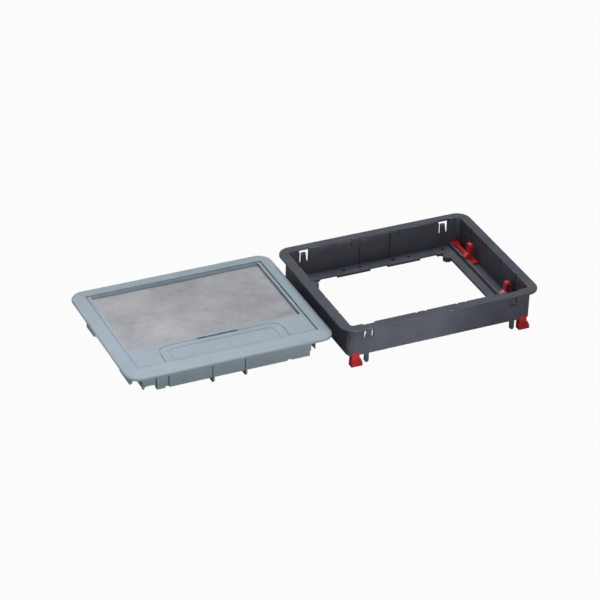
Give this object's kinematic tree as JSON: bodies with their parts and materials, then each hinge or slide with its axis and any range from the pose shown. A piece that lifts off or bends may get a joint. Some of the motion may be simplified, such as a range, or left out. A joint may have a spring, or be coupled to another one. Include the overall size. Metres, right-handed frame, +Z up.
{
  "type": "floor socket box",
  "caption": "Floor box cover unit with hinged lid, cord flap and recess for floor covering, beside its mounting frame with sliding fixing claws.",
  "frame": {"origin": "middle of the footprint of both units, on the floor that they stand on", "axes": "+Z up; +X from the cover unit to the mounting frame, along the long sides; +Y from the lid's front edge to its hinge"},
  "size_m": [0.5046, 0.222, 0.0515],
  "materials": {
    "cover_plastic": "fine moulded texture, grey-blue",
    "frame_plastic": "fine moulded texture, anthracite",
    "claw_plastic": "smooth moulded, red",
    "galvanised_steel": "zinc-coated sheet with a cloudy spangle",
    "bright_steel": "bright zinc-plated",
    "foam_rubber": "closed-cell foam and rubber, black",
    "catch_plastic": "smooth moulded, dark grey"
  },
  "bodies": {
    "mounting_frame": {"mounting_frame": "frame_plastic", "frame_gasket": "foam_rubber"},
    "claw_front_left": {"claw_front_left": "claw_plastic"},
    "claw_front_right": {"claw_front_right": "claw_plastic"},
    "claw_back_left": {"claw_back_left": "claw_plastic"},
    "claw_back_right": {"claw_back_right": "claw_plastic"},
    "cover_unit": {"cover_frame": "cover_plastic", "lid_buffers": "foam_rubber", "lid_hinge_pin_left": "bright_steel", "lid_hinge_pin_right": "bright_steel"},
    "lid": {"lid_frame": "cover_plastic", "lid_stiffener_plate": "galvanised_steel", "plate_screws": "bright_steel", "floor_inlay": "galvanised_steel", "cord_seal_front": "foam_rubber", "cord_seal_rear": "foam_rubber", "flap_hinge_pin_left": "bright_steel", "flap_hinge_pin_right": "bright_steel", "catch_cover_left": "cover_plastic", "catch_cover_right": "cover_plastic", "catch_cover_screws": "bright_steel", "lid_catch_spring_left": "bright_steel", "lid_catch_spring_right": "bright_steel"},
    "flap": {"cord_flap": "cover_plastic"},
    "catch_left": {"lid_catch_left": "catch_plastic"},
    "catch_right": {"lid_catch_right": "catch_plastic"}
  },
  "joints": [
    {"name": "cover_lift", "type": "slide", "parent": "mounting_frame", "child": "cover_unit", "axis": [0, 0, 1], "range_m": [0, 0.06]},
    {"name": "lid_hinge", "type": "hinge", "parent": "cover_unit", "child": "lid", "pos_m": [-0.1263, 0.09, 0.0348], "axis": [-1, 0, 0], "range_deg": [0, 95]},
    {"name": "flap_hinge", "type": "hinge", "parent": "lid", "child": "flap", "pos_m": [-0.1263, -0.0695, 0.0363], "axis": [1, 0, 0], "range_deg": [0, 95]},
    {"name": "catch_slide_left", "type": "slide", "parent": "lid", "child": "catch_left", "axis": [0, 1, 0], "range_m": [0, 0.0018], "stiffness_N_per_m": 300, "springref_m": -0.002, "deforming": ["lid_catch_spring_left"]},
    {"name": "catch_slide_right", "type": "slide", "parent": "lid", "child": "catch_right", "axis": [0, 1, 0], "range_m": [0, 0.0018], "stiffness_N_per_m": 300, "springref_m": -0.002, "deforming": ["lid_catch_spring_right"]},
    {"name": "claw_slide_front_left", "type": "slide", "parent": "mounting_frame", "child": "claw_front_left", "axis": [0, 1, 0], "range_m": [0, 0.007]},
    {"name": "claw_slide_front_right", "type": "slide", "parent": "mounting_frame", "child": "claw_front_right", "axis": [0, 1, 0], "range_m": [0, 0.007]},
    {"name": "claw_slide_back_left", "type": "slide", "parent": "mounting_frame", "child": "claw_back_left", "axis": [0, -1, 0], "range_m": [0, 0.007]},
    {"name": "claw_slide_back_right", "type": "slide", "parent": "mounting_frame", "child": "claw_back_right", "axis": [0, -1, 0], "range_m": [0, 0.007]}
  ]
}
